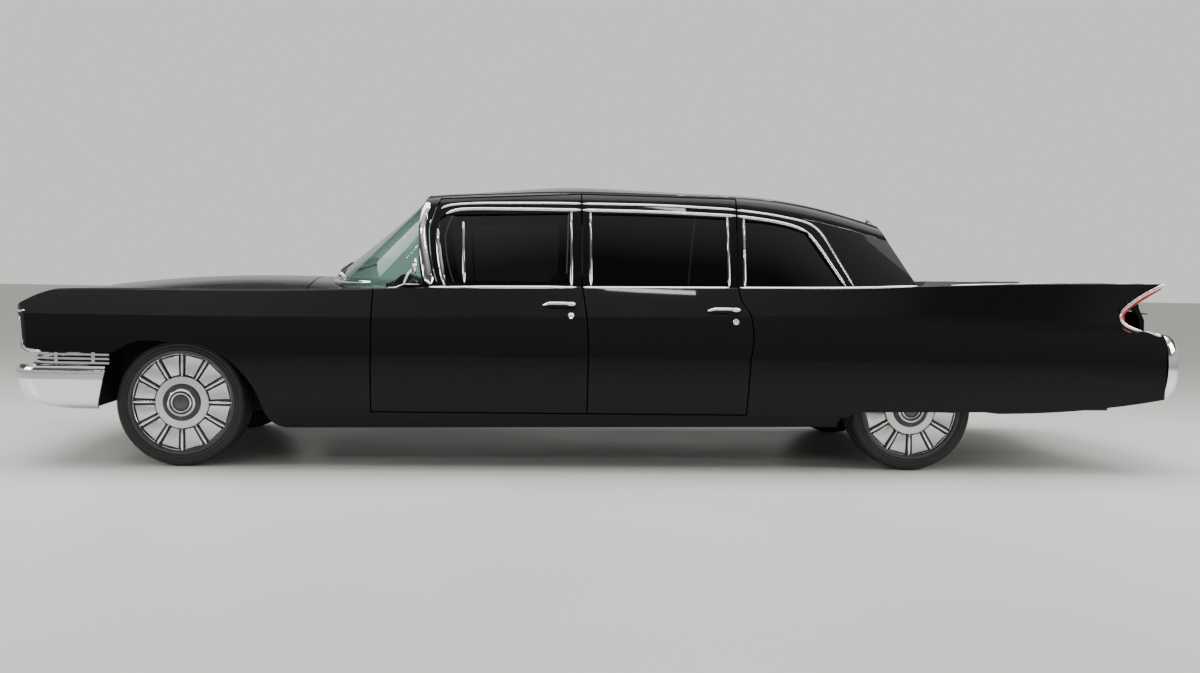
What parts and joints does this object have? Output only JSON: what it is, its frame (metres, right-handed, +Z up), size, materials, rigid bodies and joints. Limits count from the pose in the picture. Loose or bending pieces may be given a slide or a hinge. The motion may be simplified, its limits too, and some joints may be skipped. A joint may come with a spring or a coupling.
{
  "type": "limousine",
  "caption": "Long formal sedan with tail fins, wraparound windscreen, side doors cut into the roof, fender skirts and disc wheels; doors, lids, steering and wheels move.",
  "frame": {"origin": "on the ground under the middle of the overall length, on the centre line", "axes": "+X to the tail, +Y to the passenger's side, +Z up; the nose points to -X and the driver sits at -Y"},
  "size_m": [6.2164, 2.0378, 1.5155],
  "materials": {
    "body_paint": "deep gloss black paint under clear lacquer",
    "window_glass": "dark tinted safety glass",
    "bright_metal": "bright chromium plate",
    "lamp_glass": "clear fluted lamp glass",
    "red_lens": "red moulded lens",
    "tyre_rubber": "black rubber, low satin sidewall",
    "wheel_alloy": "bright machined and polished alloy",
    "underbody": "matt black underbody paint",
    "cast_metal": "dark painted casting",
    "upholstery": "black leather",
    "cabin_trim": "black grained vinyl",
    "exhaust_steel": "dull steel"
  },
  "bodies": {
    "body": {"chassis_frame": "underbody", "cowl": "body_paint", "dashboard": "cabin_trim", "drive_line": "underbody", "engine_block": "cast_metal", "exhaust": "exhaust_steel", "fender_skirts": "body_paint", "floor_pan": "underbody", "front_bumper": "bright_metal", "front_fender_left": "body_paint", "front_fender_right": "body_paint", "front_grille": "bright_metal", "front_seat": "upholstery", "fuel_tank": "underbody", "headlamps": "lamp_glass", "inner_fenders": "underbody", "partition": "cabin_trim", "quarter_panel_left": "body_paint", "quarter_panel_right": "body_paint", "radiator": "underbody", "rear_axle": "underbody", "rear_bumper": "bright_metal", "rear_glass": "window_glass", "rear_panel": "body_paint", "rear_seat": "upholstery", "roof": "body_paint", "sills": "body_paint", "tail_lamps": "red_lens", "windshield": "window_glass"},
    "hood": {"hood": "body_paint"},
    "boot_lid": {"boot_lid": "body_paint"},
    "door_front_left": {"door_front_left": "body_paint", "door_glass_front_left": "window_glass"},
    "door_front_right": {"door_front_right": "body_paint", "door_glass_front_right": "window_glass"},
    "door_rear_left": {"door_rear_left": "body_paint", "door_glass_rear_left": "window_glass"},
    "door_rear_right": {"door_rear_right": "body_paint", "door_glass_rear_right": "window_glass"},
    "knuckle_left": {"knuckle_left": "cast_metal"},
    "knuckle_right": {"knuckle_right": "cast_metal"},
    "front_wheel_left": {"wheel_front_left": "wheel_alloy", "tyre_front_left": "tyre_rubber"},
    "front_wheel_right": {"wheel_front_right": "wheel_alloy", "tyre_front_right": "tyre_rubber"},
    "rear_wheel_left": {"wheel_rear_left": "wheel_alloy", "tyre_rear_left": "tyre_rubber"},
    "rear_wheel_right": {"wheel_rear_right": "wheel_alloy", "tyre_rear_right": "tyre_rubber"},
    "steering_wheel": {"steering_wheel": "cabin_trim"}
  },
  "joints": [
    {"name": "door_front_left_hinge", "type": "hinge", "parent": "body", "child": "door_front_left", "pos_m": [-1.233, -1.016, 0.6], "axis": [0, 0, -1], "range_deg": [0, 65]},
    {"name": "door_rear_left_hinge", "type": "hinge", "parent": "body", "child": "door_rear_left", "pos_m": [-0.132, -1.016, 0.6], "axis": [0, 0, -1], "range_deg": [0, 65]},
    {"name": "door_front_right_hinge", "type": "hinge", "parent": "body", "child": "door_front_right", "pos_m": [-1.233, 1.016, 0.6], "axis": [0, 0, 1], "range_deg": [0, 65]},
    {"name": "door_rear_right_hinge", "type": "hinge", "parent": "body", "child": "door_rear_right", "pos_m": [-0.132, 1.016, 0.6], "axis": [0, 0, 1], "range_deg": [0, 65]},
    {"name": "hood_hinge", "type": "hinge", "parent": "body", "child": "hood", "pos_m": [-1.619, 0, 0.986], "axis": [0, 1, 0], "range_deg": [0, 45]},
    {"name": "boot_lid_hinge", "type": "hinge", "parent": "body", "child": "boot_lid", "pos_m": [1.801, 0, 0.98], "axis": [0, -1, 0], "range_deg": [0, 55]},
    {"name": "steer_left", "type": "hinge", "parent": "body", "child": "knuckle_left", "pos_m": [-2.209, -0.66, 0.328], "axis": [0, 0, 1], "range_deg": [-32, 32]},
    {"name": "steer_right", "type": "hinge", "parent": "body", "child": "knuckle_right", "pos_m": [-2.209, 0.66, 0.328], "axis": [0, 0, 1], "range_deg": [-32, 32]},
    {"name": "front_wheel_left_spin", "type": "hinge", "parent": "knuckle_left", "child": "front_wheel_left", "pos_m": [-2.209, -0.7745, 0.328], "axis": [0, 1, 0], "continuous": true},
    {"name": "rear_wheel_left_spin", "type": "hinge", "parent": "body", "child": "rear_wheel_left", "pos_m": [1.595, -0.7745, 0.328], "axis": [0, 1, 0], "continuous": true},
    {"name": "front_wheel_right_spin", "type": "hinge", "parent": "knuckle_right", "child": "front_wheel_right", "pos_m": [-2.209, 0.7745, 0.328], "axis": [0, 1, 0], "continuous": true},
    {"name": "rear_wheel_right_spin", "type": "hinge", "parent": "body", "child": "rear_wheel_right", "pos_m": [1.595, 0.7745, 0.328], "axis": [0, 1, 0], "continuous": true},
    {"name": "steering_wheel_turn", "type": "hinge", "parent": "body", "child": "steering_wheel", "pos_m": [-0.884, -0.4, 0.91936], "axis": [0.875, 0, 0.4841], "range_deg": [-480, 480]}
  ],
  "couplings": [
    {"joint": "steer_right", "follows": "steer_left", "ratio": 1},
    {"joint": "steering_wheel_turn", "follows": "steer_left", "ratio": 15}
  ]
}
